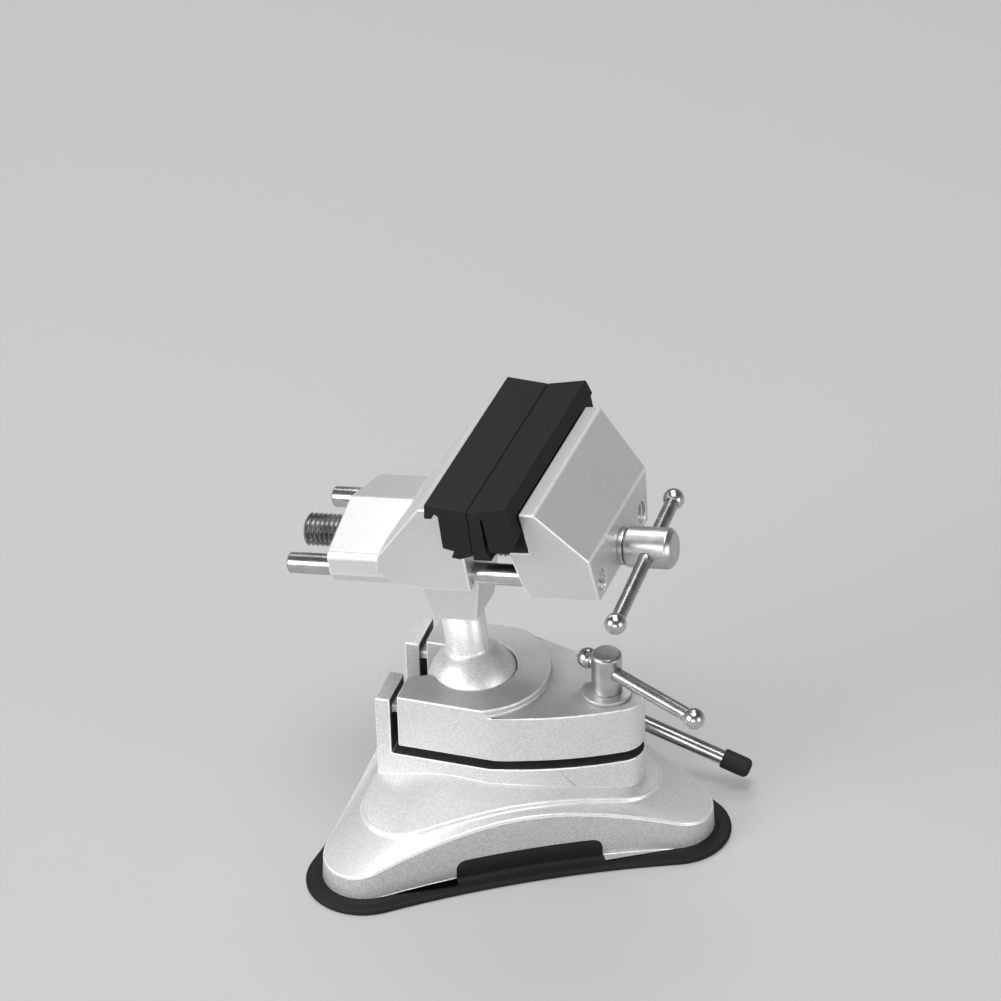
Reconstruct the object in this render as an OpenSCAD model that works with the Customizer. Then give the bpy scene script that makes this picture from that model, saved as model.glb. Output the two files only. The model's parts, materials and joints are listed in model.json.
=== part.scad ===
// Suction base vise: a ball-mounted bench vise on a three-lobed suction foot.
// Millimetres, +Z up. The origin lies on the table, straight below the centre of the ball,
// and +X points from the ball to the clamp screw. The head is drawn with the ball's centre
// as its origin and is then leaned over, as the vise stands with its ball clamped.

/* [Foot] */
// Distance from the middle of the foot to the centre of each lobe
lobe_reach = 64.4; // [60:0.1:72]
// Middle of the foot, measured forward from the ball
foot_x = 8.1; // [6:0.1:10]
// Radius of the casting's lobes
lobe_r = 14.9; // [13.5:0.1:17]
// Height of the casting's lower edge above the table
skirt_z = 2.9; // [2.4:0.1:4]
// Hollowing of the long sides
side_sag = 4.9; // [3:0.1:7]
// Height that the skirt's upper edge would reach over the middle of the foot
edge_crown = 37.2; // [36.4:0.1:38]
// Fall of that edge with the distance from the middle
edge_fall = 0.33; // [0.31:0.01:0.35]
// Height that the raised deck would reach over the middle of the foot
deck_crown = 33.8; // [33.2:0.1:34.4]
// Fall of the deck with the distance from the middle
deck_fall = 0.23; // [0.21:0.01:0.25]
// Distance from the middle of the foot to the centres of the deck's lobes
deck_reach = 43.2; // [41:0.1:45]
// Radius of the deck's lobes
deck_r = 16.6; // [15:0.1:18]
// Height of the step up to the deck
step_h = 1.3; // [0.8:0.1:1.8]
// Wall of the casting
wall = 3.6; // [3:0.1:4.5]
// Width of the window in the front of the skirt
window_w = 52.6; // [40:0.1:56]
// Height of the window's upper edge
window_z = 9.7; // [8:0.1:10.6]
// How far the window sits right of the middle of its side
window_off = 1.1; // [0:0.1:3]

/* [Suction pad] */
// Radius of the rubber lip round each lobe
lip_r = 20.9; // [19:0.1:23]
// Hollowing of the lip's long sides
lip_sag = 4; // [3:0.1:5.6]
// Thickness of the rubber lip
lip_t = 2.1; // [1.5:0.1:2.4]
// Diameter of the steel plate that draws the rubber up
plate_d = 36; // [30:1:40]
// Thickness of that plate
plate_t = 2; // [1.5:0.1:3]

/* [Suction lever] */
// Diameter of the cam shaft's journal
journal_d = 8; // [7.8:0.1:8.2]
// Height of the cam shaft
cam_z = 28.2; // [28:0.1:28.4]
// Throw of the cam pin
cam_throw = 2; // [1.6:0.1:2.1]
// Diameter of the cam pin
cam_pin_d = 3.6; // [3:0.1:3.7]
// Full turn of the lever, in degrees
lever_turn = 50; // [40:1:56]
// Diameter of the lever rod
lever_d = 5.5; // [5:0.1:6]
// How far behind the ball the lever swings
lever_y = 31; // [30:0.1:33]
// Where the lever rod bends, forward of the ball
lever_bend_x = 34; // [28:1:40]
// Length of the straight end of the rod, from the bend to the tip of the grip
lever_l = 62; // [50:1:66]
// Slope of that straight end, in degrees
lever_slope = 18.8; // [15:0.1:20]
// Diameter of the rubber grip
grip_d = 7.2; // [6.8:0.1:8]
// Length of the rubber grip
grip_l = 10.8; // [10:0.1:16]

/* [Ball and stem] */
// Height of the ball's centre above the table
ball_z = 51; // [50.5:0.1:52]
// Diameter of the ball
ball_d = 33; // [32.4:0.1:33.4]
// Diameter of the stem
stem_d = 15.4; // [14:0.1:15.8]
// Height of the stem's shoulder above the ball's centre
stem_l = 31.4; // [30:0.1:33]
// Diameter of the spigot that turns in the neck
spigot_d = 10; // [8:0.1:11]
// Length of that spigot
spigot_l = 14; // [10:0.1:16]
// Lean of the head towards the notch, in degrees
head_lean = 7.5; // [0:0.1:12]
// Lean of the head to the rear, in degrees
head_side = 3; // [0:0.1:4]
// Turn of the head about the stem, in degrees
head_yaw = -1.1; // [-5:0.1:5]

/* [Clamp] */
// Half the width of the clamp block and of the collar below it
block_hw = 25.5; // [24.5:0.1:27]
// Height of the collar's upper face
collar_z = 33.6; // [33.2:0.1:34]
// Height of the clamp block's lower face
block_z = 37.4; // [36.6:0.1:38]
// Height of the block's upper face round the ball
block_top_z = 58.5; // [57.5:0.1:59.5]
// Height of the block's lower nose
nose_top_z = 55.9; // [55:0.1:56.5]
// Radius of the raised face round the ball
plateau_r = 27.6; // [26.5:0.1:29]
// Where the block's sides start to draw in, forward of the ball
shoulder_x = 13.6; // [12:0.1:16]
// Radius of the curved sides
side_r = 139; // [120:1:180]
// Radius of the nose
nose_r = 9.9; // [8.6:0.1:11]
// Centre of the nose, forward of the ball
nose_x = 52.4; // [51:0.1:54]
// Diameter of the round opening over the ball
mouth_d = 31.1; // [30.8:0.1:31.6]
// Width of the notch that the stem tilts into
notch_w = 17.4; // [16.8:0.1:18]
// Rear face of the block, behind the ball
block_rear_x = 20.4; // [19.9:0.1:20.8]
// Front face of the two posts, behind the ball
post_x = 23; // [22.6:0.1:23.4]
// Thickness of the posts
post_t = 5.4; // [4.8:0.1:6.5]
// Height of the posts
post_top_z = 56.6; // [55.5:0.1:58]
// Outer diameter of the cup under the ball
cup_d = 39.6; // [39:0.1:40.2]
// Height of the cup's rim
cup_top_z = 47.5; // [46.5:0.1:48]

/* [Clamp screw] */
// Distance of the clamp screw from the ball
screw_x = 48.9; // [48:0.1:50]
// Diameter of the clamp screw's head
head_d = 10.8; // [10:0.1:12]
// Height of that head
head_h = 15.8; // [14:0.1:18]
// Diameter of the clamp screw's thread
clamp_thread_d = 8; // [7:0.1:8.2]
// Outer diameter of the washer under the head
washer_d = 17.8; // [16:0.1:18.4]
// Thickness of that washer
washer_t = 1.4; // [1:0.1:1.8]
// Distance of the bar's near ball end from the screw
clamp_bar_out = 42; // [36:0.1:46]
// Turn of the clamp bar in the plan, in degrees
clamp_bar_turn = -28.3; // [-60:0.1:0]

/* [Bars] */
// Diameter of both cross bars
bar_d = 5; // [4.5:0.1:5.2]
// Diameter of the balls on their ends
bar_ball_d = 7.6; // [7:0.1:8.4]

/* [Jaws] */
// Width of the jaws at the top
jaw_w = 75; // [72:0.1:80]
// Height of the jaws' upper edge above the ball's centre
jaw_top = 92.7; // [91:0.1:94]
// Height of the jaws' lower edge above the ball's centre
jaw_bottom = 54; // [53:0.1:55]
// How far each end draws in from top to bottom
jaw_taper = 10.2; // [7:0.1:10.4]
// Grip face of the fixed jaw, forward of the ball
fixed_face_x = 15; // [14.4:0.1:15.6]
// Grip face of the moving jaw when the pads meet
moving_face_x = 41.8; // [41:0.1:42.6]
// Outer face of the moving jaw
moving_outer_x = 63; // [62:0.1:64]
// Height of the guide rods and lead screw above the ball's centre
rod_z = 59.7; // [59.4:0.1:60]
// Distance of the guide rods from the jaws' ends, measured at the jaws' top
rod_inset = 14.8; // [14:0.1:15.4]
// Diameter of the guide rods
rod_d = 7.5; // [7:0.1:8]
// Rear end of the guide rods, behind the ball
rod_rear_x = 52; // [48:0.1:56]
// Rear end of the fixed jaw's hub, behind the ball
hub_rear_x = 35.3; // [33:0.1:38]
// Height of the hub's ridge above the ball's centre
hub_ridge = 74.2; // [72:0.1:76]

/* [Lead screw] */
// Diameter of the lead screw's thread
lead_d = 11.8; // [11:0.1:12]
// Pitch of that thread
lead_pitch = 1.75; // [1.5:0.05:2]
// Rear end of the lead screw, behind the ball
lead_rear_x = 54; // [50:0.1:58]
// Diameter of the plain neck in the moving jaw
lead_neck_d = 9; // [8.5:0.1:9.4]
// Diameter of the lead screw's head
boss_d = 14.4; // [13:0.1:16]
// Length of the lead screw's head
boss_l = 17.1; // [15:0.1:20]
// Thickness of the thrust washer between head and jaw
thrust_t = 1.8; // [1.2:0.1:2.4]
// Distance of the lead bar's near ball end from the screw's axis
lead_bar_near = 42.7; // [38:0.1:46]
// Distance of its far ball end
lead_bar_far = 28; // [24:0.1:34]
// Slope of the lead bar, in degrees
lead_bar_slope = 6.2; // [0:0.1:15]

/* [Jaw pads] */
// Length of the rubber pads
pad_w = 89.2; // [84:0.1:94]
// How far the pads sit past the jaws' middle, away from the clamp screw's bar
pad_off = 1.3; // [0:0.1:2]
// Where the two pads meet, forward of the ball
seam_x = 25.8; // [25:0.1:27]
// Height of the pads' upper face at the seam above the jaws' upper edge
pad_rise = 3.7; // [3.2:0.1:4.8]
// How much the pads rise towards their outer edges
pad_dish = 2; // [0.5:0.1:3]

/* [Fits] */
// Radial clearance of running fits
run = 0.06; // [0.03:0.01:0.09]
// Gap between soft and hard faces
soft_gap = 0.2; // [0.1:0.05:0.3]

/* [Hidden] */
$fn = 64;
silver = [0.76, 0.76, 0.75];
blasted = [0.8, 0.8, 0.8];
steel = [0.7, 0.71, 0.72];
black = [0.14, 0.14, 0.14];
far = 200;

// Points on an arc about c, from angle a0 to a1 in n steps
function arc(c, r, a0, a1, n) =
    [for (i = [0:n]) c + r * [cos(a0 + (a1 - a0) * i / n), sin(a0 + (a1 - a0) * i / n)]];

// Three-lobed outline. Lobes of radius r sit at reach from the middle of the foot; the sides
// between them are arcs hollowed by the sags [rear, notch side, front], tangent to the lobes.
lobe_steps = 12;
side_steps = 12;
function span(reach) = reach * sqrt(3);
function hollow_r(reach, r, s) = (s * s + pow(span(reach), 2) / 4) / (2 * s) - r;
function half_angle(reach, r, s) = asin(span(reach) / 2 / (hollow_r(reach, r, s) + r));
function hollow_c(reach, r, s, m) =
    [foot_x, 0] + (reach / 2 + hollow_r(reach, r, s) + r - s) * [cos(m), sin(m)];
function lobe_part(reach, r, sags, i) =
    let (m = 60 + 120 * i, before = half_angle(reach, r, sags[(i + 2) % 3]),
         after = half_angle(reach, r, sags[i]))
    arc([foot_x, 0] + reach * [cos(120 * i), sin(120 * i)], r,
        m - 120 - before, m + after, lobe_steps);
function side_part(reach, r, sags, i) =
    let (m = 60 + 120 * i, b = half_angle(reach, r, sags[i]), R = hollow_r(reach, r, sags[i]),
         all = arc(hollow_c(reach, r, sags[i], m), R, m + 180 + b, m + 180 - b, side_steps))
    [for (k = [1:side_steps - 1]) all[k]];
function lobed(reach, r, sags) =
    [for (i = [0:2]) each concat(lobe_part(reach, r, sags, i), side_part(reach, r, sags, i))];
// A ring at one height, and a ring whose height falls with the distance from the middle
function level_ring(reach, r, sags, z) = [for (p = lobed(reach, r, sags)) [p[0], p[1], z]];
function falling_ring(reach, r, sags, crown, fall) =
    [for (p = lobed(reach, r, sags)) [p[0], p[1], crown - fall * norm(p - [foot_x, 0])]];

// Solid skinned over a list of rings, lowest first, each with the same number of points
module loft(rings) {
    n = len(rings[0]);
    last = len(rings) - 1;
    polyhedron(
        points = [for (r = rings) each r],
        faces = concat(
            [[for (i = [0:n - 1]) i]],
            [[for (i = [n - 1:-1:0]) last * n + i]],
            [for (k = [0:last - 1], i = [0:n - 1])
                [k * n + (i + 1) % n, k * n + i, (k + 1) * n + i]],
            [for (k = [0:last - 1], i = [0:n - 1])
                [k * n + (i + 1) % n, (k + 1) * n + i, (k + 1) * n + (i + 1) % n]]));
}

// Outline of the clamp block and collar: straight sides, long arcs and a round nose
nose_c = [nose_x, 0];
shoulder = [shoulder_x, -block_hw];
shoulder_gap = norm(nose_c - shoulder);
shoulder_a = atan2(block_hw, nose_x - shoulder_x)
    + acos((pow(side_r, 2) + pow(shoulder_gap, 2) - pow(side_r - nose_r, 2))
        / (2 * side_r * shoulder_gap));
side_c = shoulder + side_r * [cos(shoulder_a), sin(shoulder_a)];
nose_a = atan2(-side_c[1], nose_x - side_c[0]);
front_half = concat(arc(side_c, side_r, shoulder_a - 180, nose_a, 8),
                    arc(nose_c, nose_r, nose_a, 0, 6));
function nose_outline(rear_x) =
    concat([[rear_x, -block_hw]], front_half,
        [for (i = [len(front_half) - 2:-1:0]) [front_half[i][0], -front_half[i][1]]],
        [[rear_x, block_hw]]);

// The foot is an upright skirt under a border that falls outwards, and a raised deck on it
sags = [side_sag, side_sag, side_sag];
edge_sags = 0.94 * sags;
deck_sags = [0.8, 0.8, 0.8];
module foot_form() {
    loft([
        level_ring(lobe_reach, lobe_r, sags, skirt_z),
        falling_ring(lobe_reach + 0.4, lobe_r - 0.8, edge_sags, edge_crown - 0.8, edge_fall),
        falling_ring(lobe_reach + 0.6, lobe_r - 1.3, edge_sags, edge_crown, edge_fall),
        falling_ring(deck_reach, deck_r, deck_sags, deck_crown - step_h, deck_fall),
        falling_ring(deck_reach, deck_r - 0.5, deck_sags, deck_crown - 0.2, deck_fall),
        falling_ring(deck_reach, deck_r - 1.1, deck_sags, deck_crown, deck_fall),
        level_ring(deck_reach / 3, deck_r / 3, [0.5, 0.5, 0.5], deck_crown - 16 * deck_fall)]);
}
module foot_hollow() {
    inner = lobe_r - wall;
    loft([
        level_ring(lobe_reach, inner, sags, -1),
        level_ring(lobe_reach, inner, sags, skirt_z),
        falling_ring(lobe_reach, inner, sags, edge_crown - wall - 0.8, edge_fall),
        level_ring(deck_reach - 10, deck_r - wall, deck_sags,
            deck_crown - deck_fall * (deck_reach + deck_r - 10) - wall)]);
}

// The notch that the stem tilts into: a round-bottomed slot along -X at the ball's height
module stem_slot(from_x, to_x) {
    translate([from_x, 0, ball_z]) rotate([0, 90, 0]) cylinder(d = notch_w, h = to_x - from_x);
    translate([from_x, -notch_w / 2, ball_z]) cube([to_x - from_x, notch_w, far]);
}

// Hook of the clamp block in the posts
hook_y = notch_w / 2 + 1.6;
hook_w = block_hw - hook_y - 3;
hook_t = 3;
hook_reach = 1.9;
hook_gap = 0.15;
module hooks(grow) {
    for (side = [-1, 1])
        translate([-post_x - hook_reach - grow, side * (hook_y + hook_w / 2), ball_z])
            translate([0, -hook_w / 2 - grow, -hook_t / 2 - grow])
                cube([hook_reach + post_x - block_rear_x + 1 + 2 * grow, hook_w + 2 * grow,
                    hook_t + 2 * grow]);
}
module posts() for (side = [-1, 1])
    translate([-post_x - post_t, side > 0 ? notch_w / 2 : -block_hw, collar_z - 1])
        cube([post_t, block_hw - notch_w / 2, post_top_z - collar_z + 1]);

// The pull stud's head is a block that slides in a channel under the ball
stud_d = 8;
head_l = 11.2;
channel_top = 33;
pin_a = -lever_turn / 2;
pin_x = foot_x + cam_throw * cos(pin_a);
pin_z = cam_z + cam_throw * sin(pin_a);
stud_top = pin_z + cam_pin_d / 2 + run + 1.4;
thread_boss_d = 17;
thread_floor = 14;
window_r = 3.4;
module skirt_window(grow) {
    half = window_w / 2 + grow;
    top = window_z + grow;
    translate([foot_x, 0, 0]) rotate([90, 0, 30]) translate([window_off, 0, lobe_reach / 2])
        linear_extrude(far / 4) polygon(concat([[-half, -1]],
            arc([window_r - half, top - window_r], window_r, 180, 90, 4),
            arc([half - window_r, top - window_r], window_r, 90, 0, 4), [[half, -1]]));
}
module base_casting() color(silver) difference() {
    union() {
        difference() {
            union() {
                foot_form();
                translate([0, 0, skirt_z + wall]) linear_extrude(collar_z - skirt_z - wall)
                    polygon(nose_outline(-post_x - post_t));
                posts();
            }
            difference() {
                foot_hollow();
                // bosses that stand in the hollow
                translate([foot_x, 0, 8]) cylinder(d = head_l + 11, h = far);
                translate([screw_x, 0, thread_floor - 3]) cylinder(d = thread_boss_d, h = far);
                translate([foot_x - 5, 0, 12]) cube([10, block_hw - 2, far]);
            }
            skirt_window(0);
        }
        translate([0, 0, collar_z - 1]) cylinder(d = cup_d, h = cup_top_z - collar_z + 1);
    }
    stem_slot(-cup_d / 2 - 1, 0);
    translate([0, 0, ball_z]) rotate([90, 0, 0]) sphere(d = ball_d + 2 * run, $fn = 96);
    hooks(hook_gap);
    translate([screw_x, 0, thread_floor])
        cylinder(d = clamp_thread_d + 2 * run, h = far);
    // channel that guides the pull stud, its shaft's bore and a pocket for the lever's hub
    translate([foot_x - head_l / 2 - run, -stud_d / 2 - run, 0])
        cube([head_l + 2 * run, stud_d + 2 * run, channel_top]);
    translate([foot_x, 0, cam_z]) rotate([-90, 0, 0]) cylinder(d = journal_d + 2 * run, h = far);
    // flat ledge that the lever and its hub swing over
    translate([foot_x - hub_d / 2 - 2, block_hw - 0.3, cam_z - hub_d / 2 - 1.2])
        cube([lever_bend_x - foot_x + hub_d + 2, far, hub_d + 2.4]);
    translate([foot_x, grub_y, 0]) cylinder(d = grub_d + 2 * run, h = cam_z);
}

module suction_pad() color(black) {
    linear_extrude(lip_t) polygon(lobed(lobe_reach, lip_r, [lip_sag, lip_sag, lip_sag]));
    linear_extrude(skirt_z) polygon(lobed(lobe_reach, lobe_r + 0.8, sags));
    intersection() {
        foot_form();
        skirt_window(-soft_gap);
        translate([0, 0, skirt_z - 1]) cylinder(r = far, h = window_z);
    }
}

stud_foot_z = skirt_z + soft_gap + plate_t;
module pad_plate() color(steel)
    translate([foot_x, 0, skirt_z + soft_gap]) difference() {
        cylinder(d = plate_d, h = plate_t);
        translate([0, 0, -1]) cylinder(d = stud_d - 2 + run, h = plate_t + 2);
    }
module pull_stud() color(steel) difference() {
    union() {
        translate([foot_x, 0, skirt_z + soft_gap]) cylinder(d = stud_d - 2, h = plate_t);
        translate([foot_x, 0, stud_foot_z]) cylinder(d = stud_d, h = cam_z - stud_foot_z - 9);
        translate([foot_x - head_l / 2, -stud_d / 2, cam_z - 10])
            cube([head_l, stud_d, stud_top - cam_z + 10]);
    }
    // slot that the cam pin slides along
    for (dx = [-1, 1])
        translate([pin_x + dx, -stud_d, pin_z]) rotate([-90, 0, 0])
            cylinder(d = cam_pin_d + 2 * run, h = 2 * stud_d);
    translate([pin_x - 1, -stud_d, pin_z - cam_pin_d / 2 - run])
        cube([2, 2 * stud_d, cam_pin_d + 2 * run]);
}
grub_d = 4;
grub_y = 15;
grub_groove = 1.2;
shaft_out = lever_y + lever_d / 2 + 2.4;
hub_d = 11;
module cam_shaft() color(steel) difference() {
    union() {
        translate([pin_x, -stud_d / 2, pin_z]) rotate([-90, 0, 0])
            cylinder(d = cam_pin_d, h = stud_d + 1);
        translate([foot_x, stud_d / 2 + 0.2, cam_z]) rotate([-90, 0, 0])
            cylinder(d = journal_d, h = block_hw + 0.4 - stud_d / 2);
        translate([foot_x, block_hw + 0.4, cam_z]) rotate([-90, 0, 0])
            cylinder(d = hub_d, h = shaft_out - block_hw - 0.4);
    }
    // groove that the grub screw runs in, and the cross hole for the lever rod
    translate([foot_x, grub_y, cam_z]) rotate([-90, 0, 0]) rotate_extrude()
        translate([journal_d / 2 - grub_groove, -grub_d / 2 - 0.2])
            square([grub_groove + 1, grub_d + 0.4]);
    translate([foot_x, lever_y, cam_z]) rotate([0, 90 + lever_root_a, 0])
        translate([0, 0, -far / 2]) cylinder(d = lever_d, h = far);
}
module cam_grub_screw() color(steel)
    translate([foot_x, grub_y, 16]) difference() {
        cylinder(d = grub_d, h = cam_z - journal_d / 2 + grub_groove - 16 - 0.1);
        translate([0, 0, -1]) cylinder(d = 2.3, h = 3, $fn = 6);
    }

// The lever rod leaves the shaft nearly level and bends down to its grip
lever_line_z = 39.2;
lever_bend_z = lever_line_z - lever_bend_x * tan(lever_slope);
lever_root_a = atan2(cam_z - lever_bend_z, lever_bend_x - foot_x);
lever_root_l = norm([lever_bend_x - foot_x, lever_bend_z - cam_z]);
module lever_rod() color(steel) {
    translate([foot_x, lever_y, cam_z]) rotate([0, 90 + lever_root_a, 0])
        translate([0, 0, 0.4 - hub_d / 2]) cylinder(d = lever_d, h = lever_root_l + hub_d / 2 - 0.4);
    translate([lever_bend_x, lever_y, lever_bend_z]) sphere(d = lever_d);
    translate([lever_bend_x, lever_y, lever_bend_z]) rotate([0, 90 + lever_slope, 0])
        cylinder(d = lever_d, h = lever_l - 2);
}
module lever_grip() color(black)
    translate([lever_bend_x, lever_y, lever_bend_z]) rotate([0, 90 + lever_slope, 0])
        translate([0, 0, lever_l]) rotate_extrude()
            polygon([[0, -2], [lever_d / 2, -2], [lever_d / 2, -grip_l], [grip_d / 2, -grip_l],
                     [grip_d / 2, -1], [grip_d / 2 - 1, 0], [0, 0]]);

mouth_z = ball_z + sqrt(pow(ball_d / 2 + run, 2) - pow(mouth_d / 2, 2));
cup_room_d = cup_d + 1.6;
notch_flare = 4.6;
module clamp_block() color(silver) difference() {
    union() {
        translate([0, 0, block_z]) linear_extrude(nose_top_z - block_z)
            polygon(nose_outline(-block_rear_x));
        intersection() {
            translate([0, 0, block_z]) linear_extrude(block_top_z - block_z)
                polygon(nose_outline(-block_rear_x));
            union() {
                cylinder(r = plateau_r, h = far);
                translate([-far, -far, 0]) cube([far, 2 * far, far]);
            }
        }
        hooks(0);
    }
    translate([0, 0, ball_z]) sphere(d = ball_d + 2 * run, $fn = 96);
    translate([0, 0, mouth_z]) cylinder(d = mouth_d, h = far);
    translate([0, 0, 0]) cylinder(d = ball_d + 1, h = ball_z + 2.5);
    translate([0, 0, 0]) cylinder(d = cup_room_d, h = cup_top_z + 1);
    translate([-far, -notch_w / 2, 0]) cube([far, notch_w, far]);
    translate([0, 0, block_z - 1]) linear_extrude(far)
        polygon([[-block_rear_x - 8, -notch_w / 2 - notch_flare * 1.9],
                 [-block_rear_x + 8.4, -notch_w / 2 + 0.01], [-block_rear_x - 8, 0]]);
    translate([screw_x, 0, 0]) cylinder(d = clamp_thread_d + 1, h = far);
}
washer_z = nose_top_z + 0.1;
module clamp_washer() color(steel) translate([screw_x, 0, washer_z]) difference() {
    cylinder(d = washer_d, h = washer_t);
    translate([0, 0, -1]) cylinder(d = clamp_thread_d + 0.6, h = washer_t + 2);
}
head_z = washer_z + washer_t;
bar_hole_z = head_z + head_h - 7;
module clamp_screw() color(steel) translate([screw_x, 0, 0]) difference() {
    rotate_extrude() polygon([[0, thread_floor + 1.5], [clamp_thread_d / 2 - 0.8, thread_floor + 1.5],
        [clamp_thread_d / 2, thread_floor + 2.3], [clamp_thread_d / 2, head_z],
        [head_d / 2 - 0.5, head_z], [head_d / 2, head_z + 0.5],
        [head_d / 2, head_z + head_h - 0.9], [head_d / 2 - 0.9, head_z + head_h],
        [0, head_z + head_h]]);
    translate([0, 0, bar_hole_z]) rotate([0, 90, clamp_bar_turn])
        translate([0, 0, -far / 2]) cylinder(d = bar_d + 2 * run, h = far);
}
clamp_bar_in = head_d / 2 + bar_ball_d / 2 + 0.05;
// A cross bar along X from -short to +long, and the balls on its ends
module cross_bar(long, short) translate([-short, 0, 0]) rotate([0, 90, 0])
    cylinder(d = bar_d, h = long + short);
module bar_ends(long, short) for (x = [long, -short])
    difference() {
        translate([x, 0, 0]) rotate([0, 90, 0]) sphere(d = bar_ball_d);
        translate([-short - 0.02, 0, 0]) rotate([0, 90, 0])
            cylinder(d = bar_d + 0.1, h = long + short + 0.04);
    }
module at_clamp_bar() translate([screw_x, 0, bar_hole_z]) rotate([0, 0, clamp_bar_turn]) children();
module clamp_bar() color(steel) at_clamp_bar() cross_bar(clamp_bar_out, clamp_bar_in);
module clamp_bar_ends() color(steel) at_clamp_bar() bar_ends(clamp_bar_out, clamp_bar_in);

// Head, drawn upright with the ball's centre as its origin and leaned over as it stands
module head() translate([0, 0, ball_z]) rotate([0, -head_lean, 0]) rotate([-head_side, 0, 0])
    rotate([0, 0, head_yaw]) children();
module along_x(x, y, z) translate([x, y, z]) rotate([0, 90, 0]) children();

module ball_stud() color(blasted) head() union() {
    sphere(d = ball_d, $fn = 96);
    cylinder(d = stem_d, h = stem_l);
    cylinder(d = spigot_d, h = stem_l + spigot_l);
}

// Both jaws are blocks whose ends draw in towards the bottom
module jaw_form(outline) intersection() {
    rotate([90, 0, 0]) translate([0, 0, -far / 2]) linear_extrude(far) polygon(outline);
    rotate([90, 0, 90]) translate([0, 0, -far / 2]) linear_extrude(far) polygon([
        [-jaw_w / 2, jaw_top + 1], [-jaw_w / 2, jaw_top], [-jaw_w / 2 + jaw_taper, jaw_bottom - 2],
        [jaw_w / 2 - jaw_taper, jaw_bottom - 2], [jaw_w / 2, jaw_top], [jaw_w / 2, jaw_top + 1]]);
}
ledge_z = 75;
fixed_outline = [[fixed_face_x, jaw_top], [fixed_face_x - 9.6, jaw_top], [-14.8, 69.6],
    [-17.1, 62.5], [-11.6, 57.4], [-1, jaw_bottom + 1.2], [16.4, jaw_bottom + 1.2],
    [18, ledge_z], [fixed_face_x, ledge_z + 1.5]];
moving_outline = [[moving_face_x, jaw_top], [moving_face_x + 5.6, jaw_top],
    [moving_outer_x, 72.3], [moving_outer_x, jaw_bottom], [37.8, jaw_bottom],
    [36.2, jaw_bottom + 3.4], [34.3, ledge_z], [moving_face_x, ledge_z]];
rod_pitch = jaw_w - 2 * rod_inset;
hub_w = rod_pitch + 10.6;
module hub() translate([-hub_rear_x, 0, 0]) rotate([90, 0, 90])
    linear_extrude(hub_rear_x - 10) polygon([
        [0, hub_ridge], [-hub_w / 2 + 1.2, hub_ridge - 6.6], [-hub_w / 2, hub_ridge - 8.6],
        [-hub_w / 2, rod_z - 0.4], [-hub_w / 2 + 2.4, rod_z - 4.6], [-hub_w / 2 + 7, rod_z - 6.6],
        [hub_w / 2 - 7, rod_z - 6.6], [hub_w / 2 - 2.4, rod_z - 4.6], [hub_w / 2, rod_z - 0.4],
        [hub_w / 2, hub_ridge - 8.6], [hub_w / 2 - 1.2, hub_ridge - 6.6]]);
neck_hw = 9.7;
module neck() hull() {
    translate([-6.8, -neck_hw, stem_l + 0.1]) cube([15.8, 2 * neck_hw, 9]);
    translate([-10.5, -neck_hw - 1.5, jaw_bottom]) cube([24, 2 * neck_hw + 3, 4]);
}
module rod_bores(d, from_x, to_x) for (side = [-1, 1])
    along_x(from_x, side * rod_pitch / 2, rod_z) cylinder(d = d, h = to_x - from_x);
module fixed_jaw() color(blasted) head() difference() {
    union() {
        jaw_form(fixed_outline);
        hub();
        neck();
    }
    rod_bores(rod_d + 2 * run, -far, far);
    along_x(-far, 0, rod_z) cylinder(d = lead_d + 2 * run, h = 2 * far);
    cylinder(d = spigot_d + 2 * run, h = stem_l + spigot_l + 0.3);
}
rod_sink = 1.6;
module moving_jaw() color(blasted) head() difference() {
    jaw_form(moving_outline);
    rod_bores(rod_d, 0, far);
    rod_bores(rod_d + 0.7, moving_outer_x - rod_sink, far);
    along_x(0, 0, rod_z) cylinder(d = lead_neck_d + 2 * run, h = far);
}
module guide_rod(side) color(steel) head()
    along_x(-rod_rear_x, side * rod_pitch / 2, rod_z) rotate_extrude() polygon([
        [0, 0], [rod_d / 2 - 0.8, 0], [rod_d / 2, 0.8],
        [rod_d / 2, rod_rear_x + moving_outer_x - rod_sink],
        [0, rod_rear_x + moving_outer_x - rod_sink]]);
module guide_rod_front() guide_rod(-1);
module guide_rod_rear() guide_rod(1);

// The thread is drawn as rings of its pitch; its crests run in the fixed jaw's bore
thread_end = 31;
thread_n = floor((lead_rear_x + thread_end - 1.5) / lead_pitch);
thread_depth = 0.95;
boss_x = moving_outer_x + 0.1 + thrust_t;
bar_x = boss_x + boss_l / 2 - 0.1;
module lead_screw() color(steel) head() difference() {
    along_x(0, 0, rod_z) rotate_extrude() polygon(concat(
        [[0, -lead_rear_x], [lead_d / 2 - 1.2, -lead_rear_x],
         [lead_d / 2 - thread_depth, -lead_rear_x + 0.9]],
        [for (i = [0:thread_n - 1]) let (x = -lead_rear_x + 1 + i * lead_pitch)
            each [[lead_d / 2 - thread_depth, x], [lead_d / 2, x + lead_pitch * 0.42],
                  [lead_d / 2, x + lead_pitch * 0.56],
                  [lead_d / 2 - thread_depth, x + lead_pitch - 0.02]]],
        [[lead_neck_d / 2, thread_end], [lead_neck_d / 2, clip_x - 0.05],
         [lead_neck_d / 2 - 0.8, clip_x - 0.05],
         [lead_neck_d / 2 - 0.8, clip_x + clip_t + 0.05],
         [lead_neck_d / 2, clip_x + clip_t + 0.05], [lead_neck_d / 2, boss_x],
         [boss_d / 2 - 1, boss_x], [boss_d / 2, boss_x + 1], [boss_d / 2, boss_x + boss_l - 1.6],
         [boss_d / 2 - 1.6, boss_x + boss_l], [0, boss_x + boss_l]]));
    translate([bar_x, 0, rod_z]) rotate([lead_bar_slope - 90, 0, 0]) translate([0, 0, -far / 2])
        cylinder(d = bar_d + 2 * run, h = far);
}
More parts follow.
